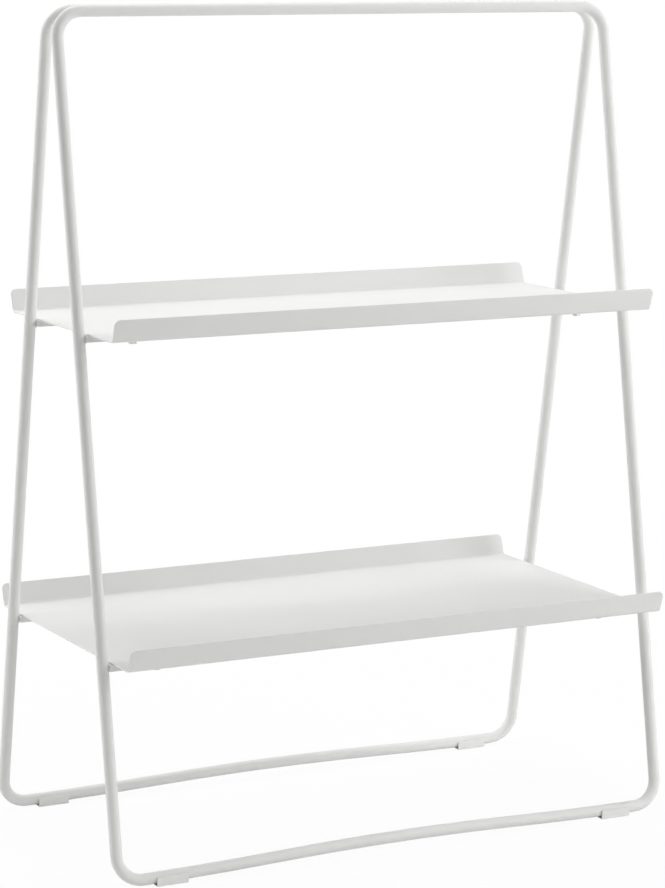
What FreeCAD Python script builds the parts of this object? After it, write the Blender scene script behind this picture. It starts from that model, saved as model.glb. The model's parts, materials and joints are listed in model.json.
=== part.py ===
import FreeCAD
import Part
import Sketcher
import math
import os

# An a-frame shelf: two bent tube loops lean together at the top and carry two folded sheet trays.
# Millimetres. X runs along the trays, Y from front to back and Z up, with the origin on the floor
# under the middle of the shelf.

# Driving dimensions
SIZES = {
    # Tube loops
    "tube_diameter": 12,
    "tube_wall": 1.5,
    "leg_spacing": 632,           # between the centre lines of a loop's legs
    "rail_rise": 847,             # from base rail to top rail, straight up, between centre lines
    "base_spread": 307,           # between the centre lines of the two base rails
    "top_spread": 20,             # between the centre lines of the two top rails
    "corner_radius": 27,          # bend of each corner, on the centre line
    "arch_rise": 5.4,             # how far the middle of a base rail stands above its ends
    # Glides under the base rails
    "glide_length": 34,
    "glide_inset": 56,            # from a leg's centre line to the middle of the glide
    "glide_sole": 1.2,            # plastic under the tube, in the middle of the glide
    "glide_wall": 1.5,
    "glide_rise": 2,              # how far the walls reach past the rail's centre line
    "glide_clearance": 0.25,
    "glide_rounding": 0.8,
    "peg_diameter": 5,
    "peg_length": 6,              # above the floor of the groove
    "peg_clearance": 0.2,
    # Trays
    "sheet": 1.5,
    "tray_clearance": 1.5,        # between a tray's end and the legs
    "bend_radius": 3.5,           # inside the fold
    "flange_height": 23.6,        # from the tray's underside
    "flange_angle": 17,           # degrees, leaning outwards
    "flange_corner_radius": 6,
    "upper_tray_height": 540.4,   # from the floor to the tray's underside
    "upper_flat_depth": 250,      # front to back, between the folds
    "lower_tray_height": 221.1,
    "lower_flat_depth": 318,
    # Brackets on the legs
    "bracket_width": 20,
    "bracket_thickness": 6,
    "bracket_butt": 4.5,          # from a leg's centre line to the bracket's square end
    "bracket_end": 10,            # from the stud to the bracket's free end
    "bracket_corner_radius": 4,
    "weld_gap": 0.05,             # between the cope in a bracket's square end and the leg
    # Studs under the trays, with their washers and nuts
    "stud_diameter": 5,
    "stud_inset": 50,             # from the tray's end
    "stud_clearance": 0.5,
    "stud_tip": 0.4,              # thread that stands out of the nut
    "washer_diameter": 10,
    "washer_thickness": 1,
    "washer_clearance": 0.3,
    "nut_flats": 8,
    "nut_height": 4,
    "nut_crown": 0.15,            # how far the rounding of the corners stays off the flats
    "thread_clearance": 0.05,
    # Joints between the top rails
    "joint_inset": 120,           # from a leg's centre line
    "spacer_diameter": 10,
    "saddle_clearance": 0.05,     # between a tube and the saddle that sits on it
    "saddle_diameter": 11,
    "saddle_crest": 1,            # washer left at the top of its saddle
    "screw_diameter": 5,
    "screw_clearance": 0.25,
    "screw_reach": 1,             # past the front rail's centre line
    "head_diameter": 9.5,
    "head_height": 2.75,
    "head_edge": 0.6,             # straight side under the head's dome
    "socket_flats": 3,
    "socket_depth": 1.6,
    "bush_diameter": 7,
    "bush_clearance": 0.05,
    "bush_reach": 1.5,            # past the front rail's centre line
    # Cutting tools run past what they cut by this much
    "overrun": 2,
}

# Places and sizes that follow from the driving dimensions
PLACES = {
    "tube_radius": "Sizes.tube_diameter / 2",
    "bore_radius": "tube_radius - Sizes.tube_wall",
    "leg_x": "Sizes.leg_spacing / 2",
    "base_y": "Sizes.base_spread / 2",
    "top_y": "Sizes.top_spread / 2",
    "lean": "atan((base_y - top_y) / Sizes.rail_rise)",
    "loop_height": "Sizes.rail_rise / cos(lean)",
    "corner_x": "leg_x - Sizes.corner_radius",
    "arch_radius": "(corner_x ^ 2 + Sizes.arch_rise ^ 2) / (4 * Sizes.arch_rise)",
    "arch_centre": "Sizes.arch_rise - arch_radius",
    "glide_x": "leg_x - Sizes.glide_inset",
    "glide_slope": "asin((corner_x - glide_x) / arch_radius)",
    "glide_lift": "arch_radius * (1 - cos(glide_slope))",
    "glide_y": "base_y - glide_lift * sin(lean)",
    "groove_width": "Sizes.tube_diameter + 2 * Sizes.glide_clearance",
    "glide_width": "groove_width + 2 * Sizes.glide_wall",
    "glide_rail_z": "Sizes.glide_sole + groove_width / 2",
    "glide_top_z": "glide_rail_z + Sizes.glide_rise",
    "base_z": "glide_rail_z - glide_lift * cos(lean)",
    "top_z": "base_z + Sizes.rail_rise",
    "tray_length": "Sizes.leg_spacing - Sizes.tube_diameter - 2 * Sizes.tray_clearance",
    "stud_x": "tray_length / 2 - Sizes.stud_inset",
    "stud_reach": "leg_x - stud_x",
    "bracket_reach": "stud_reach + Sizes.bracket_end",
    "bracket_half": "Sizes.bracket_thickness / 2",
    "upper_bracket_y": "base_y - (Sizes.upper_tray_height - bracket_half - base_z) * tan(lean)",
    "lower_bracket_y": "base_y - (Sizes.lower_tray_height - bracket_half - base_z) * tan(lean)",
    "washer_drop": "Sizes.bracket_thickness + Sizes.washer_thickness",
    "nut_drop": "washer_drop + Sizes.nut_height",
    "stud_drop": "nut_drop + Sizes.stud_tip",
    "joint_x": "leg_x - Sizes.joint_inset",
    "saddle_y": "top_y + tube_radius + Sizes.saddle_crest",
    "shank_length": "saddle_y + top_y + Sizes.screw_reach",
    "dome_height": "Sizes.head_height - Sizes.head_edge",
    "dome_radius": "((Sizes.head_diameter / 2) ^ 2 + dome_height ^ 2) / (2 * dome_height)",
}

# How sketch constraints count the points of a curve, the sketch's axes and its origin
START, END, CENTRE = range(1, 4)
X_AXIS, Y_AXIS = range(-1, -3, -1)
ORIGIN = X_AXIS, START

doc = FreeCAD.newDocument("a_frame_shelf")
nodes = []


def make_sheet(name, cells):
    """A spreadsheet with one aliased cell for each entry."""
    sheet = doc.addObject("Spreadsheet::Sheet", name)
    for row, (alias, text) in enumerate(cells.items(), start=1):
        sheet.set("A%d" % row, alias)
        sheet.setAlias("B%d" % row, alias)
        sheet.set("B%d" % row, text)
    doc.recompute()
    return sheet


make_sheet("Sizes", {alias: str(value) for alias, value in SIZES.items()})
places = make_sheet("Places", {alias: "=" + formula for alias, formula in PLACES.items()})


def read(expression):
    """Present value of an expression on the sheets, as a plain number."""
    value = places.evalExpression(expression)
    return getattr(value, "Value", value)


def bind(thing, **expressions):
    """Tie properties of an object to the sheets; x, y, z and turn are those of its Placement."""
    paths = {
        "x": "Placement.Base.x",
        "y": "Placement.Base.y",
        "z": "Placement.Base.z",
        "turn": "Placement.Rotation.Angle",
    }
    for name, expression in expressions.items():
        thing.setExpression(paths.get(name, name), expression)
    return thing


def face_along(thing, axis, degrees):
    """Turn an object about an axis before its place is bound."""
    thing.Placement = FreeCAD.Placement(FreeCAD.Vector(), FreeCAD.Rotation(FreeCAD.Vector(*axis), degrees))
    return thing


def keep(thing, label):
    """Mark an object as a sub-part of the shelf."""
    thing.Label = label
    nodes.append(thing)


# Sketch helpers
def line(start, end):
    return Part.LineSegment(FreeCAD.Vector(*start), FreeCAD.Vector(*end))


def arc(centre, radius, first, last):
    """Arc from one angle to the next, in degrees, turning left."""
    circle = Part.Circle(FreeCAD.Vector(*centre), FreeCAD.Vector(0, 0, 1), radius)
    return Part.ArcOfCircle(circle, math.radians(first), math.radians(last))


def constrain(sketch, kind, *rows):
    """One constraint of a kind for each row of geometry and points."""
    for row in rows:
        sketch.addConstraint(Sketcher.Constraint(kind, *row))


def measure(sketch, name, expression, kind, *where):
    """A dimension of a sketch, tied to the sheets."""
    value = read(expression)
    if kind == "Angle":
        value = math.radians(value)
    index = sketch.addConstraint(Sketcher.Constraint(kind, *where, value))
    sketch.renameConstraint(index, name)
    sketch.setExpression("Constraints." + name, expression)


def body_sketch(body, plane_role):
    """A sketch on one of a body's own origin planes."""
    sketch = body.newObject("Sketcher::SketchObject", body.Name + "_sketch")
    plane = next(item for item in body.Origin.OriginFeatures if item.Role == plane_role)
    sketch.AttachmentSupport = [(plane, "")]
    sketch.MapMode = "FlatFace"
    return sketch


def edges_where(shape, test):
    """Names of the edges whose bounding box passes a test."""
    return ["Edge%d" % index for index, edge in enumerate(shape.Edges, start=1) if test(edge.BoundBox)]


# Solid helpers
def cylinder(name, radius, height, axis=(0, 0, 1), degrees=0, **place):
    """A cylinder bound to the sheets; turned about an axis it points another way than up."""
    thing = face_along(doc.addObject("Part::Cylinder", name), axis, degrees)
    return bind(thing, Radius=radius, Height=height, **place)


def cylinder_along_y(name, radius, height, **place):
    return cylinder(name, radius, height, (-1, 0, 0), 90, **place)


def cylinder_along_x(name, radius, height, **place):
    return cylinder(name, radius, height, (0, 1, 0), 90, **place)


def cut(name, base, *tools):
    """Base with each tool taken away in turn."""
    for tool in tools:
        result = doc.addObject("Part::Cut", name)
        result.Base = base
        result.Tool = tool
        base = result
    return base


def group(label, members):
    """Equal pieces kept together as one sub-part of separate solids."""
    compound = doc.addObject("Part::Compound", label)
    compound.Links = members
    keep(compound, label)


def signed(sign, expression):
    return expression if sign > 0 else "-(%s)" % expression


# Left and right, front and back
SIDES = {"left": -1, "right": 1}
ENDS = {"front": -1, "back": 1}


# Tube loops
def loop_path(end):
    """Centre line of a loop in its leaning plane: x along the rails, y up the legs from the lowest line.

    Straight top rail and legs, four equal corner bends, and a base rail that leaves the lower bends level,
    sweeps up and arches over the middle in three arcs of one radius."""
    leg_x, top = read("Places.leg_x"), read("Places.loop_height")
    bend, corner_x = read("Sizes.corner_radius"), read("Places.corner_x")
    arch, arch_y = read("Places.arch_radius"), read("Places.arch_centre")
    sweep = math.degrees(math.asin(corner_x / 2 / arch))
    path = doc.addObject("Sketcher::SketchObject", end + "_path")
    path.addGeometry([
        line((0, top), (corner_x, top)),
        arc((corner_x, top - bend), bend, 0, 90),
        line((leg_x, top - bend), (leg_x, bend)),
        arc((corner_x, bend), bend, -90, 0),
        arc((corner_x, arch), arch, -90 - sweep, -90),
        arc((0, arch_y), arch, 90 - sweep, 90 + sweep),
        arc((-corner_x, arch), arch, -90, sweep - 90),
        arc((-corner_x, bend), bend, 180, 270),
        line((-leg_x, bend), (-leg_x, top - bend)),
        arc((-corner_x, top - bend), bend, 90, 180),
        line((-corner_x, top), (0, top)),
    ], False)
    constrain(path, "Tangent",
              (0, END, 1, END), (1, START, 2, START), (2, END, 3, END), (3, START, 4, END),
              (4, START, 5, START), (5, END, 6, END), (6, START, 7, END), (7, START, 8, START),
              (8, END, 9, END), (9, START, 10, START))
    constrain(path, "Coincident", (10, END, 0, START))
    constrain(path, "Horizontal", (0,), (10,), (3, CENTRE, 7, CENTRE))
    constrain(path, "Vertical", (2,), (8,), (3, CENTRE, 4, CENTRE), (7, CENTRE, 6, CENTRE))
    constrain(path, "PointOnObject", (0, START, Y_AXIS), (5, CENTRE, Y_AXIS))
    constrain(path, "Equal", (1, 3), (1, 7), (1, 9), (4, 5))
    measure(path, "bend", "Sizes.corner_radius", "Radius", 1)
    measure(path, "bend_height", "Sizes.corner_radius", "DistanceY", *ORIGIN, 3, CENTRE)
    measure(path, "arch", "Places.arch_radius", "Radius", 5)
    measure(path, "right_leg", "Places.leg_x", "DistanceX", *ORIGIN, 2, START)
    measure(path, "left_leg", "Places.leg_x", "DistanceX", 8, START, *ORIGIN)
    measure(path, "height", "Places.loop_height", "DistanceY", *ORIGIN, 0, START)
    face_along(path, (1, 0, 0), 90)
    lean = "90 deg %s Places.lean" % ("+" if ENDS[end] > 0 else "-")
    return bind(path, y=signed(ENDS[end], "Places.base_y"), z="Places.base_z", turn=lean)


def swept_round(name, path, radius, end):
    """A round rod along a loop's centre line."""
    section = face_along(doc.addObject("Part::Circle", name + "_section"), (0, 1, 0), 90)
    bind(section, Radius=radius, y=signed(ENDS[end], "Places.top_y"), z="Places.top_z")
    doc.recompute()
    rod = doc.addObject("Part::Sweep", name)
    rod.Sections = [section]
    rod.Spine = (path, ["Edge%d" % (index + 1) for index in range(len(path.Shape.Edges))])
    rod.Solid = True
    return rod


def joint_hole(end, side):
    """Hole in a top rail: for the bush in the front rail's rear wall, for the screw through the back rail."""
    name = "%s_%s_joint_hole" % (end, side)
    x = signed(SIDES[side], "Places.joint_x")
    if end == "front":
        return cylinder_along_y(name, "Sizes.bush_diameter / 2 + Sizes.bush_clearance",
                                "Places.tube_radius + Sizes.overrun",
                                x=x, y="-Places.top_y", z="Places.top_z")
    return cylinder_along_y(name, "Sizes.screw_diameter / 2 + Sizes.screw_clearance",
                            "Sizes.tube_diameter + 2 * Sizes.overrun",
                            x=x, y="Places.top_y - Places.tube_radius - Sizes.overrun", z="Places.top_z")


def peg_hole(end, side):
    """Hole in the underside of a base rail for a glide's peg. Its seam is turned to the front, off the rail's
    own middle plane, where the cut comes out whole."""
    return cylinder("%s_%s_peg_hole" % (end, side), "Sizes.peg_diameter / 2 + Sizes.peg_clearance",
                    "Places.glide_rail_z", (0, 0, 1), 270,
                    x=signed(SIDES[side], "Places.glide_x"), y=signed(ENDS[end], "Places.glide_y"))


def make_frame(end):
    path = loop_path(end)
    rod = swept_round(end + "_rod", path, "Places.tube_radius", end)
    bore = swept_round(end + "_bore", path, "Places.bore_radius", end)
    holes = [hole(end, side) for side in SIDES for hole in (joint_hole, peg_hole)]
    keep(cut(end + "_loop", rod, bore, *holes), end + "_frame")


# Trays
def tray_profile(body, depth):
    """Folded section of a tray: a flat between two bends, and a flange that leans out at each side."""
    half, sheet, height = read(depth) / 2, read("Sizes.sheet"), read("Sizes.flange_height")
    inner, lean = read("Sizes.bend_radius"), read("Sizes.flange_angle")
    outer = inner + sheet
    sine, cosine = math.sin(math.radians(lean)), math.cos(math.radians(lean))
    fold = half + inner * cosine, outer - inner * sine
    fold_back = half + outer * cosine, outer - outer * sine
    tip = fold[0] + (height - fold[1]) * sine / cosine, height
    tip_back = tip[0] + sheet * cosine, tip[1] - sheet * sine

    def left(point):
        return -point[0], point[1]

    profile = body_sketch(body, "YZ_Plane")
    profile.addGeometry([
        line((-half, 0), (half, 0)),
        arc((half, outer), outer, -90, -lean),
        line(fold_back, tip_back),
        line(tip_back, tip),
        line(tip, fold),
        arc((half, outer), inner, -90, -lean),
        line((half, sheet), (-half, sheet)),
        arc((-half, outer), inner, 180 + lean, 270),
        line(left(fold), left(tip)),
        line(left(tip), left(tip_back)),
        line(left(tip_back), left(fold_back)),
        arc((-half, outer), outer, 180 + lean, 270),
    ], False)
    constrain(profile, "Tangent",
              (0, END, 1, START), (1, END, 2, START), (4, END, 5, END), (5, START, 6, START),
              (6, END, 7, END), (7, START, 8, START), (10, END, 11, START), (11, END, 0, START))
    constrain(profile, "Coincident",
              (2, END, 3, START), (3, END, 4, START), (8, END, 9, START), (9, END, 10, START),
              (1, CENTRE, 5, CENTRE), (7, CENTRE, 11, CENTRE))
    constrain(profile, "Perpendicular", (2, 3), (3, 4), (8, 9), (9, 10))
    constrain(profile, "Horizontal", (6,))
    constrain(profile, "Symmetric", (0, START, 0, END, Y_AXIS))
    constrain(profile, "PointOnObject", (0, START, X_AXIS))
    constrain(profile, "Equal", (5, 7))
    measure(profile, "depth", depth, "DistanceX", 0, START, 0, END)
    measure(profile, "sheet", "Sizes.sheet", "DistanceY", 0, END, 6, START)
    measure(profile, "bend", "Sizes.bend_radius", "Radius", 5)
    measure(profile, "right_lean", "90 deg - Sizes.flange_angle * 1 deg", "Angle", 2)
    measure(profile, "left_lean", "90 deg + Sizes.flange_angle * 1 deg", "Angle", 8)
    measure(profile, "right_height", "Sizes.flange_height", "DistanceY", *ORIGIN, 3, END)
    measure(profile, "left_height", "Sizes.flange_height", "DistanceY", *ORIGIN, 8, END)
    return profile


def make_tray(level):
    """One folded sheet, with the top corners of its flanges rounded."""
    body = doc.addObject("PartDesign::Body", level + "_tray_body")
    pad = body.newObject("PartDesign::Pad", level + "_tray_sheet")
    pad.Profile = tray_profile(body, "Sizes.%s_flat_depth" % level)
    pad.SideType = "Symmetric"
    bind(pad, Length="Places.tray_length")
    doc.recompute()
    sheet, brim = read("Sizes.sheet"), read("Sizes.flange_height - Sizes.sheet")
    corners = body.newObject("PartDesign::Fillet", level + "_tray_corners")
    corners.Base = (pad, edges_where(pad.Shape, lambda box: box.ZMin > brim and box.XLength < sheet))
    bind(corners, Radius="Sizes.flange_corner_radius")
    bind(body, z="Sizes.%s_tray_height" % level)
    keep(body, level + "_tray")


# Brackets
def leg_clear(end, side):
    """Room for a leg: a rod along it that the copes in the brackets are cut with."""
    return cylinder("%s_%s_leg_clear" % (end, side), "Places.tube_radius + Sizes.weld_gap",
                    "Places.loop_height", (ENDS[end], 0, 0), read("Places.lean"), turn="Places.lean",
                    x=signed(SIDES[side], "Places.leg_x"), y=signed(ENDS[end], "Places.base_y"),
                    z="Places.base_z")


def bracket_outline(body):
    """Flat bar that butts against the leg, with rounded free corners and a hole for the stud."""
    reach, half = read("Places.bracket_reach"), read("Sizes.bracket_width / 2")
    butt = read("Sizes.bracket_butt")
    radius = read("Sizes.bracket_corner_radius")
    stud, hole = read("Places.stud_reach"), read("Sizes.stud_diameter / 2 + Sizes.stud_clearance")
    outline = body_sketch(body, "XY_Plane")
    outline.addGeometry([
        line((butt, -half), (reach - radius, -half)),
        arc((reach - radius, radius - half), radius, -90, 0),
        line((reach, radius - half), (reach, half - radius)),
        arc((reach - radius, half - radius), radius, 0, 90),
        line((reach - radius, half), (butt, half)),
        line((butt, half), (butt, -half)),
        Part.Circle(FreeCAD.Vector(stud, 0), FreeCAD.Vector(0, 0, 1), hole),
    ], False)
    constrain(outline, "Tangent",
              (0, END, 1, START), (1, END, 2, START), (2, END, 3, START), (3, END, 4, START))
    constrain(outline, "Coincident", (4, END, 5, START), (5, END, 0, START))
    constrain(outline, "Horizontal", (0,), (4,))
    constrain(outline, "Vertical", (2,))
    constrain(outline, "Symmetric", (5, START, 5, END, X_AXIS))
    constrain(outline, "PointOnObject", (6, CENTRE, X_AXIS))
    constrain(outline, "Equal", (1, 3))
    measure(outline, "width", "Sizes.bracket_width", "DistanceY", 5, END, 5, START)
    measure(outline, "butt", "Sizes.bracket_butt", "DistanceX", *ORIGIN, 5, START)
    measure(outline, "reach", "Places.bracket_reach", "DistanceX", *ORIGIN, 2, START)
    measure(outline, "corner", "Sizes.bracket_corner_radius", "Radius", 1)
    measure(outline, "stud", "Places.stud_reach", "DistanceX", *ORIGIN, 6, CENTRE)
    measure(outline, "hole", "Sizes.stud_diameter / 2 + Sizes.stud_clearance", "Radius", 6)
    return outline


def make_bracket(level, end, side, leg):
    name = "%s_%s_%s_bracket" % (level, end, side)
    body = doc.addObject("PartDesign::Body", name + "_bar")
    pad = body.newObject("PartDesign::Pad", name + "_pad")
    pad.Profile = bracket_outline(body)
    bind(pad, Length="Sizes.bracket_thickness")
    if side == "right":
        face_along(body, (0, 0, 1), 180)
    bind(body, x=signed(SIDES[side], "Places.leg_x"), y=signed(ENDS[end], "Places.%s_bracket_y" % level),
         z="Sizes.%s_tray_height - Sizes.bracket_thickness" % level)
    keep(cut(name + "_coped", body, leg), name)


# Studs, washers and nuts
def hexagon(name, flats, height, **place):
    """A six-sided prism, sized across its flats."""
    prism = doc.addObject("Part::Prism", name)
    prism.Polygon = 6
    return bind(prism, Circumradius="%s / 2 / cos(30 deg)" % flats, Height=height, **place)


def ring(name, diameter, hole_radius, height, **place):
    outside = cylinder(name + "_outside", diameter + " / 2", height, **place)
    return cut(name, outside, cylinder(name + "_hole", hole_radius, height, **place))


def nut(name, x, y, z):
    """Hexagon nut with its corners rounded off by a sphere about its middle."""
    prism = hexagon(name + "_prism", "Sizes.nut_flats", "Sizes.nut_height", x=x, y=y, z=z)
    crown = bind(doc.addObject("Part::Sphere", name + "_crown"), x=x, y=y, z=z + " + Sizes.nut_height / 2",
                 Radius="sqrt(Sizes.nut_flats ^ 2 + Sizes.nut_height ^ 2) / 2 + Sizes.nut_crown")
    rounded = doc.addObject("Part::Common", name + "_rounded")
    rounded.Base = prism
    rounded.Tool = crown
    thread = cylinder(name + "_thread", "Sizes.stud_diameter / 2 + Sizes.thread_clearance",
                      "Sizes.nut_height", x=x, y=y, z=z)
    return cut(name, rounded, thread)


def make_tray_fasteners(level):
    """A stud welded under the tray at each bracket, with its washer and nut under the bracket."""
    studs, washers, nuts = [], [], []
    underside = "Sizes.%s_tray_height" % level
    for end in ENDS:
        for side in SIDES:
            name = "%s_%s_%s" % (level, end, side)
            x = signed(SIDES[side], "Places.stud_x")
            y = signed(ENDS[end], "Places.%s_bracket_y" % level)
            studs.append(cylinder(name + "_stud", "Sizes.stud_diameter / 2", "Places.stud_drop",
                                  x=x, y=y, z=underside + " - Places.stud_drop"))
            washers.append(ring(name + "_washer", "Sizes.washer_diameter",
                                "Sizes.stud_diameter / 2 + Sizes.washer_clearance", "Sizes.washer_thickness",
                                x=x, y=y, z=underside + " - Places.washer_drop"))
            nuts.append(nut(name + "_nut", x, y, underside + " - Places.nut_drop"))
    group(level + "_tray_studs", studs)
    group(level + "_tray_washers", washers)
    group(level + "_tray_nuts", nuts)


# Glides
def glide_side(body, low, high):
    """Side view of a glide or of its groove: upright ends, a top that follows the rail, and a bottom that
    follows the rail too, or lies on the floor where no height is given for it."""
    half, rail_fall = "Sizes.glide_length / 2", "Sizes.glide_length / 2 * tan(Places.glide_slope)"
    top = ["%s - %s" % (high, rail_fall), "%s + %s" % (high, rail_fall)]
    bottom = ["%s - %s" % (low, rail_fall), "%s + %s" % (low, rail_fall)] if low else ["0", "0"]
    x = read(half)
    corners = [(-x, read(bottom[1])), (x, read(bottom[0])), (x, read(top[0])), (-x, read(top[1]))]
    side = body_sketch(body, "XZ_Plane")
    side.addGeometry([line(corners[index - 1], corners[index]) for index in (1, 2, 3, 0)], False)
    constrain(side, "Coincident",
              (0, END, 1, START), (1, END, 2, START), (2, END, 3, START), (3, END, 0, START))
    constrain(side, "Vertical", (1,), (3,))
    measure(side, "right", half, "DistanceX", *ORIGIN, 0, END)
    measure(side, "left", half, "DistanceX", 0, START, *ORIGIN)
    measure(side, "top_right", top[0], "DistanceY", *ORIGIN, 2, START)
    measure(side, "top_left", top[1], "DistanceY", *ORIGIN, 2, END)
    if low:
        measure(side, "low_right", bottom[0], "DistanceY", *ORIGIN, 0, END)
        measure(side, "low_left", bottom[1], "DistanceY", *ORIGIN, 0, START)
    else:
        constrain(side, "PointOnObject", (0, START, X_AXIS), (0, END, X_AXIS))
    return side


def make_glide(end, side):
    """Plastic channel under a base rail: a level sole, a groove that follows the rail, and a peg."""
    name = "%s_%s_glide" % (end, side)
    body = doc.addObject("PartDesign::Body", name + "_body")
    block = body.newObject("PartDesign::Pad", name + "_block")
    block.Profile = glide_side(body, None, "Places.glide_top_z")
    block.SideType = "Symmetric"
    bind(block, Length="Places.glide_width")
    doc.recompute()
    sole = read("Sizes.glide_sole / 2")
    rounding = body.newObject("PartDesign::Fillet", name + "_rounding")
    rounding.Base = (block, edges_where(block.Shape, lambda box: box.ZMax < sole))
    bind(rounding, Radius="Sizes.glide_rounding")
    doc.recompute()
    groove = body.newObject("PartDesign::Pocket", name + "_groove")
    groove.Profile = glide_side(body, "Sizes.glide_sole", "Places.glide_top_z + Sizes.overrun")
    groove.SideType = "Symmetric"
    bind(groove, Length="Places.groove_width")
    doc.recompute()
    round_peg = body_sketch(body, "XY_Plane")
    peg_radius = read("Sizes.peg_diameter / 2")
    round_peg.addGeometry(Part.Circle(FreeCAD.Vector(), FreeCAD.Vector(0, 0, 1), peg_radius))
    constrain(round_peg, "Coincident", (0, CENTRE, *ORIGIN))
    measure(round_peg, "radius", "Sizes.peg_diameter / 2", "Radius", 0)
    peg = body.newObject("PartDesign::Pad", name + "_peg")
    peg.Profile = round_peg
    bind(peg, Length="Sizes.glide_sole + Sizes.peg_length")
    if side == "left":
        face_along(body, (0, 0, 1), 180)
    bind(body, x=signed(SIDES[side], "Places.glide_x"), y=signed(ENDS[end], "Places.glide_y"))
    keep(body, name)


# Joints between the top rails
def rail_room(name, end, x, clearance):
    """A short rod along a top rail, with clearance, that saddles are cut with."""
    length = "Sizes.saddle_diameter + Sizes.spacer_diameter"
    return cylinder_along_x(name, "Places.tube_radius + " + clearance, length,
                            x="%s - (%s) / 2" % (x, length), y=signed(ENDS[end], "Places.top_y"),
                            z="Places.top_z")


def screw_profile(body):
    """Half section of a button-head screw: shank below, low head with a domed top above."""
    shank, length = read("Sizes.screw_diameter / 2"), read("Places.shank_length")
    head, edge, height = read("Sizes.head_diameter / 2"), read("Sizes.head_edge"), read("Sizes.head_height")
    dome = read("Places.dome_radius")
    rim = math.degrees(math.atan2(edge - height + dome, head))
    half = body_sketch(body, "XZ_Plane")
    half.addGeometry([
        line((0, -length), (shank, -length)),
        line((shank, -length), (shank, 0)),
        line((shank, 0), (head, 0)),
        line((head, 0), (head, edge)),
        arc((0, height - dome), dome, rim, 90),
        line((0, height), (0, -length)),
    ], False)
    constrain(half, "Coincident",
              (0, END, 1, START), (1, END, 2, START), (2, END, 3, START),
              (3, END, 4, START), (4, END, 5, START), (5, END, 0, START))
    constrain(half, "Horizontal", (0,), (2,))
    constrain(half, "Vertical", (1,), (3,))
    constrain(half, "PointOnObject",
              (2, START, X_AXIS), (5, START, Y_AXIS), (5, END, Y_AXIS), (4, CENTRE, Y_AXIS))
    measure(half, "shank", "Sizes.screw_diameter / 2", "DistanceX", *ORIGIN, 1, START)
    measure(half, "length", "Places.shank_length", "DistanceY", 0, END, *ORIGIN)
    measure(half, "head", "Sizes.head_diameter / 2", "DistanceX", *ORIGIN, 3, START)
    measure(half, "edge", "Sizes.head_edge", "DistanceY", 3, START, 3, END)
    measure(half, "height", "Sizes.head_height", "DistanceY", *ORIGIN, 5, START)
    return half


def make_screw(name, x):
    body = doc.addObject("PartDesign::Body", name + "_body")
    turned = body.newObject("PartDesign::Revolution", name + "_turned")
    half = screw_profile(body)
    turned.Profile = half
    turned.ReferenceAxis = (half, ["V_Axis"])
    face_along(body, (-1, 0, 0), 90)
    bind(body, x=x, y="Places.saddle_y", z="Places.top_z")
    socket = face_along(hexagon(name + "_socket", "Sizes.socket_flats", "Sizes.socket_depth + Sizes.overrun"),
                        (-1, 0, 0), 90)
    bind(socket, x=x, y="Places.saddle_y + Sizes.head_height - Sizes.socket_depth", z="Places.top_z")
    keep(cut(name + "_cut", body, socket), name)


def make_top_joint(side):
    """Spacer between the rails, and a screw from behind, over a saddle washer, into the front rail's bush."""
    x = signed(SIDES[side], "Places.joint_x")
    at = {"x": x, "z": "Places.top_z"}
    hole = cylinder_along_y(side + "_screw_way", "Sizes.screw_diameter / 2 + Sizes.screw_clearance",
                            "Places.saddle_y + Places.top_y", y="-Places.top_y", **at)
    rooms = {end: rail_room("%s_%s_rail_room" % (end, side), end, x, "Sizes.saddle_clearance")
             for end in ENDS}
    spacer = cylinder_along_y(side + "_spacer_rod", "Sizes.spacer_diameter / 2", "Sizes.top_spread",
                              y="-Places.top_y", **at)
    keep(cut(side + "_spacer_cut", spacer, rooms["front"], rooms["back"], hole), side + "_top_spacer")
    saddle = cylinder_along_y(side + "_saddle_rod", "Sizes.saddle_diameter / 2",
                              "Places.saddle_y - Places.top_y", y="Places.top_y", **at)
    keep(cut(side + "_saddle_cut", saddle, rooms["back"], hole), side + "_saddle_washer")
    bush_length, bush_end = "Sizes.bush_reach + Places.tube_radius", "-Places.top_y - Sizes.bush_reach"
    bush = doc.addObject("Part::Common", side + "_bush_end")
    bush.Base = cylinder_along_y(side + "_bush_rod", "Sizes.bush_diameter / 2", bush_length, y=bush_end, **at)
    bush.Tool = rail_room(side + "_bush_rail", "front", x, "0")
    thread = cylinder_along_y(side + "_bush_thread", "Sizes.screw_diameter / 2 + Sizes.thread_clearance",
                              bush_length, y=bush_end, **at)
    keep(cut(side + "_bush_cut", bush, thread), side + "_threaded_bush")
    make_screw(side + "_top_screw", x)


# The shelf
for end_name in ENDS:
    make_frame(end_name)
legs = {(end_name, side_name): leg_clear(end_name, side_name) for end_name in ENDS for side_name in SIDES}
for level_name in ("upper", "lower"):
    make_tray(level_name)
    for (end_name, side_name), leg_room in legs.items():
        make_bracket(level_name, end_name, side_name, leg_room)
    make_tray_fasteners(level_name)
for end_name in ENDS:
    for side_name in SIDES:
        make_glide(end_name, side_name)
for side_name in SIDES:
    make_top_joint(side_name)
doc.recompute()

# Every object has to have come out whole before anything is written
failed = [thing.Label for thing in doc.Objects if {"Invalid", "Error"} & set(thing.State)]
failed += [node.Label for node in nodes if node.Shape.isNull() or not node.Shape.isValid()]
if failed:
    raise RuntimeError("Failed: " + ", ".join(failed))
os.makedirs("parts", exist_ok=True)
for node in nodes:
    node.Shape.exportStep("parts/%s.step" % node.Label)
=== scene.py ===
import json
import math

import bpy
import numpy as np
from mathutils import Matrix, Vector


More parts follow.
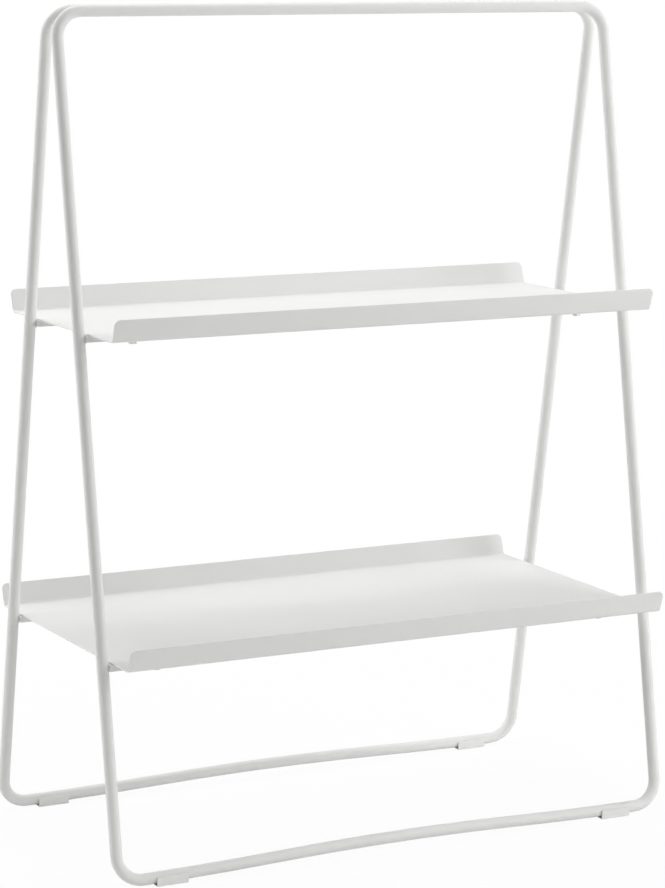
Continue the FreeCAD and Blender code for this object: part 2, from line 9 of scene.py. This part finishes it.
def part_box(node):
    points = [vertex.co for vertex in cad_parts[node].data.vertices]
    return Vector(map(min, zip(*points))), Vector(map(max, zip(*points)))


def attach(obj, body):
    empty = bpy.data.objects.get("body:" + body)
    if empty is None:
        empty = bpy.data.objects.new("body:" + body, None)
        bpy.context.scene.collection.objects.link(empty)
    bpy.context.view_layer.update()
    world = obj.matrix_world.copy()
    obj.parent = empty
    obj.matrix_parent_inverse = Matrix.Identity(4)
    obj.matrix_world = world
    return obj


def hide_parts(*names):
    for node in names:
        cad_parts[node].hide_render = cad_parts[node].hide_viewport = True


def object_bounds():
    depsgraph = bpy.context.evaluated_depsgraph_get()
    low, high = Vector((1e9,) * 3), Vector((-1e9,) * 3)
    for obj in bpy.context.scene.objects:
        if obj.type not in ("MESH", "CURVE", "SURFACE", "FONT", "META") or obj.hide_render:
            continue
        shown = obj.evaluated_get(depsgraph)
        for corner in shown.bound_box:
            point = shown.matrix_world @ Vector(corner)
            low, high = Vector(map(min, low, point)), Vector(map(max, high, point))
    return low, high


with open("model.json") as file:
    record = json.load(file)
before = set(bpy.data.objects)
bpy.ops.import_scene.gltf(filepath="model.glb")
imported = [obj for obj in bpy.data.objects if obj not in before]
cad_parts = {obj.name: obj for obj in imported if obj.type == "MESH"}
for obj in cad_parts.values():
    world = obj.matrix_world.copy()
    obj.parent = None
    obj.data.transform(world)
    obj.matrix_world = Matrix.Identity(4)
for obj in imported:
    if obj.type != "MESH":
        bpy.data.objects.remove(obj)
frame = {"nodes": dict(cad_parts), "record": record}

# A white powder-coated a-frame shelf: two tube loops that lean together and carry two folded trays.
# Metres. X runs along the trays, Y from front to back and Z up from the floor.
cad_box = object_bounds()
nodes = frame["nodes"]
MM = 0.001

# Sizes of the pieces that are made here, beside what the frame gives
TUBE_RADIUS = 6 * MM
SHEET = 1.5 * MM
SHEET_EDGE = 0.45 * MM            # rounding that the coat leaves on a cut edge
BEND_RADIUS = 3.5 * MM            # inside the fold
FOLD_RADIUS = BEND_RADIUS + SHEET / 2       # of the sheet's middle
FLANGE_LEAN = math.radians(17)    # outwards from upright
FOLD_TURN = math.pi / 2 - FLANGE_LEAN
FLANGE_CORNER = 6 * MM
BRACKET_BUTT = 4.5 * MM           # from a leg's centre line to a bracket's square end
BEAD_UNDER = 1.7 * MM             # radius of the weld bead under a bracket, and of the same bead over it
BEAD_OVER = 0.9 * MM
BEAD_RIPPLES = 22                 # round the whole bead
BEAD_RIPPLE_SHARE = 0.07          # of the bead's radius
BEAD_SQUARENESS = 2.5
STUD_RADIUS = 2.5 * MM
THREAD_PITCH = 0.8 * MM
THREAD_DEPTH = 0.35 * MM
STUD_CHAMFER = 0.5 * MM

# How finely those pieces are divided
CORNER_POINTS = 9                 # round a flange's corner
SPAN_POINTS = 41                  # along a tray, between its corners
FLAT_POINTS = 12                  # from a tray's middle to its fold
BEND_POINTS = 13                  # round a fold
FLANGE_SHARES = np.array([0.15, 0.35, 0.55, 0.75, 0.9, 1])      # up a flange, from its fold to its tip
EDGE_POINTS = 5                   # round a quarter of a cut edge
BEAD_POINTS = 176                 # along a weld bead
BEAD_SIDES = 16
STUD_SIDES = 32
THREAD_LEVELS = 8                 # in a pitch

# Camera: where it stands, how it is turned, and its focal length in pixels of a picture of this height
PICTURE_HEIGHT = 888
FOCAL_PIXELS = 3083.2
CAMERA_PLACE = Vector((-1.4884, -2.8345, 0.9552))
CAMERA_YAW, CAMERA_PITCH, CAMERA_ROLL = -0.48332, -0.17195, 0.00773


# Shader nodes
class Shade:
    """One output of a shader node. Sums and products of shades and numbers add Math nodes."""

    def __init__(self, tree, output):
        self.tree = tree
        self.output = output

    def maths(self, operation, first, second):
        """A Math node on two shades or numbers."""
        return self.tree.add("ShaderNodeMath", {"operation": operation}, {0: first, 1: second})

    def __add__(self, other):
        return self.maths("ADD", self, other)

    def __mul__(self, other):
        return self.maths("MULTIPLY", self, other)

    __radd__ = __add__
    __rmul__ = __mul__


class Tree:
    """The node tree of a material or world, emptied, to which nodes are added."""

    def __init__(self, owner):
        owner.use_nodes = True
        self.nodes = owner.node_tree.nodes
        self.links = owner.node_tree.links
        self.nodes.clear()

    def add(self, kind, settings=None, inputs=None, output=0):
        """A node of a kind, with its settings, then the values or links of its sockets."""
        node = self.nodes.new(kind)
        for name, value in (settings or {}).items():
            if name == "stops":
                ramp = node.color_ramp.elements
                while len(ramp) < len(value):
                    ramp.new(1)
                for element, (place, tone) in zip(ramp, value):
                    element.position = place
                    element.color = (*tone, 1)
            else:
                setattr(node, name, value)
        for name, value in (inputs or {}).items():
            if isinstance(value, Shade):
                self.links.new(value.output, node.inputs[name])
            else:
                node.inputs[name].default_value = value
        return Shade(self, node.outputs[output]) if node.outputs else None

    def noise(self, place, scale, detail):
        """Noise with scale cells to each unit of its place."""
        return self.add("ShaderNodeTexNoise", None, {"Vector": place, "Scale": scale, "Detail": detail})

    def ramp(self, value, stops):
        """Colour that a value picks from stops, each a place from 0 to 1 and a colour."""
        return self.add("ShaderNodeValToRGB", {"stops": stops}, {"Fac": value})

    def blend(self, share, first, second):
        """Colour between two others, through the colour sockets of a Mix node."""
        return self.add("ShaderNodeMix", {"data_type": "RGBA"}, {0: share, 6: first, 7: second}, output=2)


def colour(red, green, blue):
    """An opaque colour, as a colour socket takes it."""
    return red, green, blue, 1


def finish_material(name, build):
    """A material whose surface is what build gives for its tree."""
    material = bpy.data.materials.new(name)
    tree = Tree(material)
    tree.add("ShaderNodeOutputMaterial", None, {"Surface": build(tree)})
    return material


def object_place(tree):
    """Object coordinates, which are metres in the shelf's own frame."""
    return tree.add("ShaderNodeTexCoord", output="Object")


def powder_coat(tree):
    """Satin white powder coat: orange peel about 1.5 mm across with a finer grain on it, a faint drift of
    tone over a hand's breadth, and sparse specks where the powder clumped."""
    place = object_place(tree)
    peel = tree.noise(place, scale=680, detail=1.5)
    grain = tree.noise(place, scale=3200, detail=2)
    drift = tree.noise(place, scale=8, detail=3)
    clump = tree.noise(place, scale=1500, detail=0)
    speck = tree.ramp(clump, [(0.79, (0, 0, 0)), (0.85, (1, 1, 1))])
    tone = tree.blend(drift, colour(0.815, 0.815, 0.805), colour(0.855, 0.855, 0.845))
    coat = tree.blend(speck * 0.35, tone, colour(0.62, 0.61, 0.59))
    bump = tree.add("ShaderNodeBump", None,
                    {"Strength": 0.22, "Distance": 0.06 * MM, "Height": peel * 0.75 + grain * 0.25})
    roughness = 0.48 + peel * 0.12 + drift * 0.06
    return tree.add("ShaderNodeBsdfPrincipled", None, {
        "Base Color": coat, "Roughness": roughness, "IOR": 1.5, "Specular IOR Level": 0.3, "Normal": bump})


def moulded_plastic(tree):
    """Matt pale plastic: a fine spark-eroded grain and the slight cloudiness of a moulded part."""
    place = object_place(tree)
    grain = tree.add("ShaderNodeTexVoronoi", {"feature": "SMOOTH_F1"}, {"Vector": place, "Scale": 2400})
    cloud = tree.noise(place, scale=90, detail=3)
    tone = tree.blend(cloud, colour(0.82, 0.82, 0.80), colour(0.89, 0.89, 0.87))
    bump = tree.add("ShaderNodeBump", None, {"Strength": 0.4, "Distance": 0.05 * MM, "Height": grain})
    return tree.add("ShaderNodeBsdfPrincipled", None, {
        "Base Color": tone, "Roughness": 0.5 + cloud * 0.12, "IOR": 1.47, "Normal": bump})


def zinc_plate(tree):
    """Bright zinc: a bluish and a straw-coloured passivation that drift into each other, over tool marks that
    run round as fine rings of noise stretched flat."""
    place = object_place(tree)
    flat = tree.add("ShaderNodeMapping", None, {"Vector": place, "Scale": (900, 900, 9000)})
    marks = tree.noise(flat, scale=1, detail=2)
    drift = tree.noise(place, scale=260, detail=2)
    tone = tree.ramp(drift, [(0.35, (0.51, 0.53, 0.55)),
                             (0.5, (0.57, 0.57, 0.57)),
                             (0.68, (0.58, 0.57, 0.54))])
    bump = tree.add("ShaderNodeBump", None, {"Strength": 0.3, "Distance": 0.02 * MM, "Height": marks})
    return tree.add("ShaderNodeBsdfPrincipled", None, {
        "Base Color": tone, "Metallic": 1.0, "Roughness": 0.26 + marks * 0.16, "Normal": bump})


finishes = {
    "white_powder_coat": finish_material("white_powder_coat_finish", powder_coat),
    "glide_plastic": finish_material("glide_plastic_finish", moulded_plastic),
    "zinc_fasteners": finish_material("zinc_fasteners_finish", zinc_plate),
}
node_slots = {row["node"]: row["material_slot"] for row in frame["record"]["subparts"]}


# Mesh helpers
def grid_quads(index, closed=False):
    """Quads between the rows and columns of a grid of vertex numbers.

    Closed joins the last column to the first."""
    left = index if closed else index[:, :-1]
    right = np.roll(index, -1, axis=1) if closed else index[:, 1:]
    return np.stack([left[:-1], right[:-1], right[1:], left[1:]], axis=-1).reshape(-1, 4).tolist()


def make_piece(name, points, faces, slot):
    """A piece of the shelf from its points and faces, finished as a slot of the record says."""
    mesh = bpy.data.meshes.new(name)
    mesh.from_pydata(np.asarray(points).reshape(-1, 3).tolist(), [], faces)
    mesh.shade_smooth()
    mesh.update()
    mesh.materials.append(finishes[slot])
    piece = bpy.data.objects.new(name, mesh)
    bpy.context.scene.collection.objects.link(piece)
    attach(piece, "root")
    return piece


def closed_strands(strands):
    """Points and faces of several closed strands, each a grid of rings with a point at either end."""
    points, faces = [], []
    for first, rings, last in strands:
        start = sum(len(part) for part in points)
        index = start + 1 + np.arange(rings.shape[0] * rings.shape[1]).reshape(rings.shape[:2])
        end = index[-1, -1] + 1
        points += [np.reshape(first, (1, 3)), rings.reshape(-1, 3), np.reshape(last, (1, 3))]
        faces += grid_quads(index, closed=True)
        faces += [[start, int(b), int(a)] for a, b in zip(index[0], np.roll(index[0], -1))]
        faces += [[end, int(a), int(b)] for a, b in zip(index[-1], np.roll(index[-1], -1))]
    return np.concatenate(points), faces


# Trays
def tray_section(along, flat_half):
    """Middle of the folded sheet at a distance along it from the tray's middle: across, up, and the normal.

    Flat as far as the fold, then round the bend by the angle (distance - flat_half) / radius, and from the
    bend's end straight up the flange. The two halves mirror each other."""
    distance = np.abs(along)
    turn = np.clip((distance - flat_half) / FOLD_RADIUS, 0, FOLD_TURN)
    run = np.maximum(distance - flat_half - FOLD_RADIUS * FOLD_TURN, 0)
    across = np.minimum(distance, flat_half) + FOLD_RADIUS * np.sin(turn) + run * math.cos(FOLD_TURN)
    up = SHEET / 2 + FOLD_RADIUS * (1 - np.cos(turn)) + run * math.sin(FOLD_TURN)
    side = np.sign(along)
    return side * across, up, np.stack([np.zeros_like(turn), -side * np.sin(turn), np.cos(turn)], axis=-1)


def tray_sheet(level):
    """A folded tray with rounded flange corners and softly rounded edges.

    The sheet's middle is a grid over x and the distance along the folded section. Near the ends the flange
    tips follow a quarter circle: x = half - corner + corner * sin(a), tip = reach - corner + corner * cos(a).
    Each face is that grid moved along its normal. The edge is a half round of rings between the two faces,
    each ring the grid's outline drawn in by edge * (1 - cos(turn)) and moved to its own height."""
    name = level + "_tray"
    low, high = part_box(name)
    tip_up = high.z - low.z - SHEET / 2 * math.sin(FLANGE_LEAN)
    bend_up = SHEET / 2 + FOLD_RADIUS * (1 - math.cos(FOLD_TURN))
    flange = (tip_up - bend_up) / math.cos(FLANGE_LEAN)
    tip_across = high.y - SHEET / 2 * math.cos(FLANGE_LEAN)
    flat_half = tip_across - flange * math.sin(FLANGE_LEAN) - FOLD_RADIUS * math.sin(FOLD_TURN)
    bend_end = flat_half + FOLD_RADIUS * FOLD_TURN
    corner_turns = np.linspace(0, math.pi / 2, CORNER_POINTS)
    spans = np.linspace(-1, 1, SPAN_POINTS)

    def layer(inset, height):
        """The grid drawn in by inset all round and moved by height along the normal."""
        half, corner = high.x - inset, FLANGE_CORNER - inset
        ends = half - corner + corner * np.sin(corner_turns)
        tips = bend_end + flange - inset - corner + corner * np.cos(corner_turns)
        middle = spans * (half - corner)
        x = np.concatenate([-ends[:0:-1], middle, ends[1:]])
        tip = np.concatenate([tips[:0:-1], np.full(len(middle), tips[0]), tips[1:]])
        wing = bend_end + FLANGE_SHARES * (tip[:, None] - bend_end)
        bend = np.linspace(flat_half, bend_end, BEND_POINTS)
        flat = np.linspace(0, flat_half, FLAT_POINTS)[1:-1]
        fixed = np.broadcast_to(np.concatenate([flat, bend]), (len(x), len(flat) + len(bend)))
        right = np.concatenate([fixed, wing], axis=1)
        along = np.concatenate([-right[:, ::-1], np.zeros((len(x), 1)), right], axis=1)
        across, up, normal = tray_section(along, flat_half)
        middle_sheet = np.stack([np.broadcast_to(x[:, None], across.shape), across, up + low.z], axis=-1)
        return middle_sheet + height * normal

    top = layer(SHEET_EDGE, SHEET / 2)
    bottom = layer(SHEET_EDGE, -SHEET / 2)
    rows, columns = top.shape[:2]
    index = np.arange(rows * columns).reshape(rows, columns)
    outline = np.concatenate([index[:-1, 0], index[-1, :-1], index[:0:-1, -1], index[0, :0:-1]])
    half_height = SHEET / 2 - SHEET_EDGE
    quarter = np.radians(np.linspace(90, 0, EDGE_POINTS)[1:])
    upper_turns = [(turn, half_height) for turn in quarter]
    lower_turns = [(-turn, -half_height) for turn in quarter[::-1]]
    rings = []
    for turn, lift in upper_turns + lower_turns:
        ring = layer(SHEET_EDGE * (1 - math.cos(turn)), lift + SHEET_EDGE * math.sin(turn))
        rings.append(ring.reshape(-1, 3)[outline])
    points = np.concatenate([top.reshape(-1, 3), bottom.reshape(-1, 3), *rings])
    ring_index = 2 * index.size + np.arange(len(rings) * len(outline)).reshape(len(rings), -1)
    edge_index = np.concatenate([outline[None], ring_index, index.size + outline[None]])
    faces = grid_quads(index[::-1])
    faces += grid_quads(index.size + index)
    faces += grid_quads(edge_index[::-1], closed=True)
    piece = make_piece(name + "_sheet", points, faces, "white_powder_coat")
    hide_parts(name)


# Welds between brackets and legs
def leg_direction(end, side):
    """Upward direction of a leg, from the places of its two brackets."""
    upper, lower = (sum(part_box("%s_%s_%s_bracket" % (level, end, side)), Vector()) / 2
                    for level in ("upper", "lower"))
    rise = upper - lower
    return np.array(Vector((0, rise.y, rise.z)).normalized())


def weld_bead(level, end, side):
    """Bead that runs once round the end of a bracket, where it butts against the leg.

    Its line is a rounded square wrapped on the leg: at t the angle about the leg is reach * corner(cos t),
    and the height over the bracket's middle is half * corner(sin t), with corner(c) = tanh(k c) / tanh(k),
    where k is the squareness. Each point is slid along the leg to its height. The bead is a round about that
    line, thinner over the bracket than under it, with ripples."""
    bracket = "%s_%s_%s_bracket" % (level, end, side)
    low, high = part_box(bracket)
    sign = 1 if side == "right" else -1
    upward = leg_direction(end, side)
    inward = np.array([-sign, 0, 0])
    across = np.cross(upward, inward)
    outer_end = high.x if sign > 0 else low.x
    centre = np.array([outer_end + sign * BRACKET_BUTT, (low.y + high.y) / 2, (low.z + high.z) / 2])

    def corner(share):
        return np.tanh(BEAD_SQUARENESS * share) / math.tanh(BEAD_SQUARENESS)

    along = np.linspace(0, 2 * math.pi, BEAD_POINTS, endpoint=False)[:, None]
    angle = math.acos(BRACKET_BUTT / TUBE_RADIUS) * corner(np.cos(along))
    rise = corner(np.sin(along))
    outward = np.cos(angle) * inward + np.sin(angle) * across
    line = centre + TUBE_RADIUS * outward
    plane = centre[2] + (high.z - low.z) / 2 * rise
    line = line + (plane - line[:, 2:]) / upward[2] * upward
    onward = np.roll(line, -1, axis=0) - np.roll(line, 1, axis=0)
    sideways = np.cross(onward, outward)
    sideways /= np.linalg.norm(sideways, axis=1, keepdims=True)
    ripple = 1 + BEAD_RIPPLE_SHARE * np.cos(BEAD_RIPPLES * along)
    girth = ripple * (BEAD_UNDER + (BEAD_OVER - BEAD_UNDER) * (1 + rise) / 2)
    around = np.linspace(0, 2 * math.pi, BEAD_SIDES, endpoint=False)[:, None]
    round_off = np.cos(around) * outward[:, None] + np.sin(around) * sideways[:, None]
    rings = line[:, None] + girth[:, None] * round_off
    index = np.arange(rings.shape[0] * rings.shape[1]).reshape(rings.shape[:2])
    faces = grid_quads(np.concatenate([index, index[:1]]), closed=True)
    make_piece(bracket + "_weld", rings, faces, "white_powder_coat")


# Studs under the trays
def threaded_studs(level):
    """The four studs of a tray, with their thread.

    At height z and angle a the radius is outer - depth * |2 * fraction(z / pitch - a / turn) - 1|, and no
    more than the chamfer leaves near the tip. A stud ends in a flat face at its tip and against the tray."""
    name = level + "_tray_studs"
    low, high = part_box(name)
    heights = np.arange(low.z, high.z, THREAD_PITCH / THREAD_LEVELS)
    around = np.linspace(0, 2 * math.pi, STUD_SIDES, endpoint=False)
    phase = np.mod((heights[:, None] - low.z) / THREAD_PITCH - around / (2 * math.pi), 1)
    thread = STUD_RADIUS - THREAD_DEPTH * np.abs(2 * phase - 1)
    chamfer = STUD_RADIUS - STUD_CHAMFER + (heights[:, None] - low.z)
    radius = np.minimum(thread, chamfer)
    strands = []
    for x in (low.x + STUD_RADIUS, high.x - STUD_RADIUS):
        for y in (low.y + STUD_RADIUS, high.y - STUD_RADIUS):
            rings = np.stack([x + radius * np.cos(around), y + radius * np.sin(around),
                              np.broadcast_to(heights[:, None], radius.shape)], axis=-1)
            strands.append(((x, y, low.z), rings, (x, y, heights[-1])))
    points, faces = closed_strands(strands)
    piece = make_piece(name + "_threaded", points, faces, "zinc_fasteners")
    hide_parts(name)


for level in ("upper", "lower"):
    tray_sheet(level)
    threaded_studs(level)
    for end in ("front", "back"):
        for side in ("left", "right"):
            weld_bead(level, end, side)


# Pieces that the frame gives: their finish, and a small rounding of their cut edges
BAR_EDGE = 0.5 * MM
PLASTIC_EDGE = 0.35 * MM
SHARP_EDGE = math.radians(40)     # edges that turn by more are rounded
ROUNDING_SEGMENTS = 3
JOIN_DISTANCE = 0.005 * MM


def soften(node, width):
    """Join a node's loose triangles and round its sharp edges."""
    weld = node.modifiers.new("join", "WELD")
    weld.merge_threshold = JOIN_DISTANCE
    bevel = node.modifiers.new("soft_edges", "BEVEL")
    bevel.width = width
    bevel.segments = ROUNDING_SEGMENTS
    bevel.limit_method = "ANGLE"
    bevel.angle_limit = SHARP_EDGE


for name, node in nodes.items():
    node.material_slots[0].material = finishes[node_slots[name]]
    if name.endswith("bracket"):
        soften(node, BAR_EDGE)
    elif name.endswith("glide"):
        soften(node, PLASTIC_EDGE)


# Floor, background and light
def seen_directly(tree):
    """One for what the camera sees, also in gloss and through glass, and zero for light that falls."""
    path = tree.add("ShaderNodeLightPath").output.node.outputs
    camera, glossy, through = (Shade(tree, path[ray])
                               for ray in ("Is Camera Ray", "Is Glossy Ray", "Is Transmission Ray"))
    return camera.maths("MAXIMUM", camera.maths("MAXIMUM", camera, glossy), through)


FLOOR_SIZE = 80                   # metres
FLOOR_ALBEDO = 0.9
FLOOR_WHITE_SHARE = 0.94          # of what is seen beside the shelf; further off the floor is all white
SHADOW_REACH = 0.5, 1.1           # how far from the middle the shelf's shadow is kept, fading out


def studio_floor(tree):
    """Pale floor that keeps the shelf's shadow. The eye sees it nearly white beside the shelf, and white
    further off."""
    white = tree.add("ShaderNodeEmission", None, {"Color": colour(1, 1, 1), "Strength": 1.0})
    pale = tree.add("ShaderNodeBsdfDiffuse", None, {"Color": colour(*[FLOOR_ALBEDO] * 3)})
    distance = tree.add("ShaderNodeVectorMath", {"operation": "LENGTH"}, {0: object_place(tree)},
                        output="Value")
    near, far = SHADOW_REACH
    away = tree.add("ShaderNodeMapRange", {"interpolation_type": "SMOOTHSTEP"},
                    {"Value": distance, "From Min": near, "From Max": far,
                     "To Min": FLOOR_WHITE_SHARE, "To Max": 1.0})
    return tree.add("ShaderNodeMixShader", None, {0: seen_directly(tree) * away, 1: pale, 2: white})


def make_floor():
    """One level square under the shelf."""
    half = FLOOR_SIZE / 2
    mesh = bpy.data.meshes.new("floor")
    corners = [(-half, -half, 0), (half, -half, 0), (half, half, 0), (-half, half, 0)]
    mesh.from_pydata(corners, [], [(0, 1, 2, 3)])
    mesh.materials.append(finish_material("pale_floor", studio_floor))
    floor = bpy.data.objects.new("floor", mesh)
    bpy.context.scene.collection.objects.link(floor)


WORLD_LIGHT = 0.16


def make_world():
    """White to the eye, and a weak even light from all round."""
    world = bpy.data.worlds.new("studio")
    bpy.context.scene.world = world
    tree = Tree(world)
    light = tree.add("ShaderNodeBackground", None, {"Color": colour(1, 1, 1), "Strength": WORLD_LIGHT})
    white = tree.add("ShaderNodeBackground", None, {"Color": colour(1, 1, 1), "Strength": 1.0})
    mixed = tree.add("ShaderNodeMixShader", None, {0: seen_directly(tree), 1: light, 2: white})
    tree.add("ShaderNodeOutputWorld", None, {"Surface": mixed})


# Soft boxes: place, width, height and power in watts. All but the low one point at the shelf's middle.
SHELF_MIDDLE = Vector((0, 0, 0.45))
SOFT_BOXES = {
    "over_the_shelf": ((0, 0, 3.0), 2.0, 2.0, 16),
    "over_the_front": ((0.4, -1.3, 2.7), 1.6, 1.2, 7),
    "over_the_back": ((0.1, 1.2, 2.8), 1.6, 1.2, 24),
    "left_behind": ((-1.8, 2.2, 1.0), 1.6, 1.8, 13),
    "left_behind_high": ((-1.5, 1.8, 2.2), 1.4, 1.2, 9),
    "left_wall": ((-2.6, 1.0, 1.0), 0.6, 0.9, 20),
    "right_wall": ((2.6, 0.2, 1.0), 1.6, 1.8, 9),
    "right_in_front": ((2.0, -2.0, 1.6), 1.6, 1.8, 33),
    "right_close_by": ((1.2, -1.5, 0.9), 0.9, 1.4, 4),
}
LOW_BOX = (0, -1.0, 0.12), 1.3, 0.16, 0.08
LOW_BOX_SPREAD = math.radians(30)           # how wide its light fans out


def make_light(name, place, width, height, watts, target=SHELF_MIDDLE, spread=math.pi):
    """A rectangular lamp that faces its target. The camera doesn't see it."""
    light = bpy.data.lights.new(name, "AREA")
    light.shape = "RECTANGLE"
    light.size = width
    light.size_y = height
    light.energy = watts
    light.spread = spread
    lamp = bpy.data.objects.new(name, light)
    lamp.location = place
    lamp.rotation_euler = (target - Vector(place)).to_track_quat("-Z", "Y").to_euler()
    lamp.visible_camera = False
    bpy.context.scene.collection.objects.link(lamp)


def make_lights():
    """The soft boxes, and a low one whose narrow light stays on the base rails."""
    for name, box in SOFT_BOXES.items():
        make_light(name, *box)
    front_rail = Vector((0, cad_box[0].y, 0))
    make_light("low_in_front", *LOW_BOX, target=front_rail, spread=LOW_BOX_SPREAD)


def make_camera():
    """Camera turned by yaw about Z and by pitch above the level, then rolled about its own line of sight."""
    level = math.cos(CAMERA_PITCH)
    forward = Vector((-math.sin(CAMERA_YAW) * level, math.cos(CAMERA_YAW) * level, math.sin(CAMERA_PITCH)))
    right = forward.cross(Vector((0, 0, 1))).normalized()
    up = right.cross(forward)
    cosine, sine = math.cos(CAMERA_ROLL), math.sin(CAMERA_ROLL)
    rolled_right = right * cosine + up * sine
    rolled_up = up * cosine - right * sine
    turn = Matrix((rolled_right, rolled_up, -forward)).transposed()
    data = bpy.data.cameras.new("photo_camera")
    data.sensor_fit = "VERTICAL"
    data.lens = FOCAL_PIXELS / PICTURE_HEIGHT * data.sensor_height
    camera = bpy.data.objects.new("photo_camera", data)
    camera.matrix_world = Matrix.Translation(CAMERA_PLACE) @ turn.to_4x4()
    bpy.context.scene.collection.objects.link(camera)
    bpy.context.scene.camera = camera


make_floor()
make_world()
make_lights()
make_camera()
bpy.context.scene.view_settings.view_transform = "Standard"
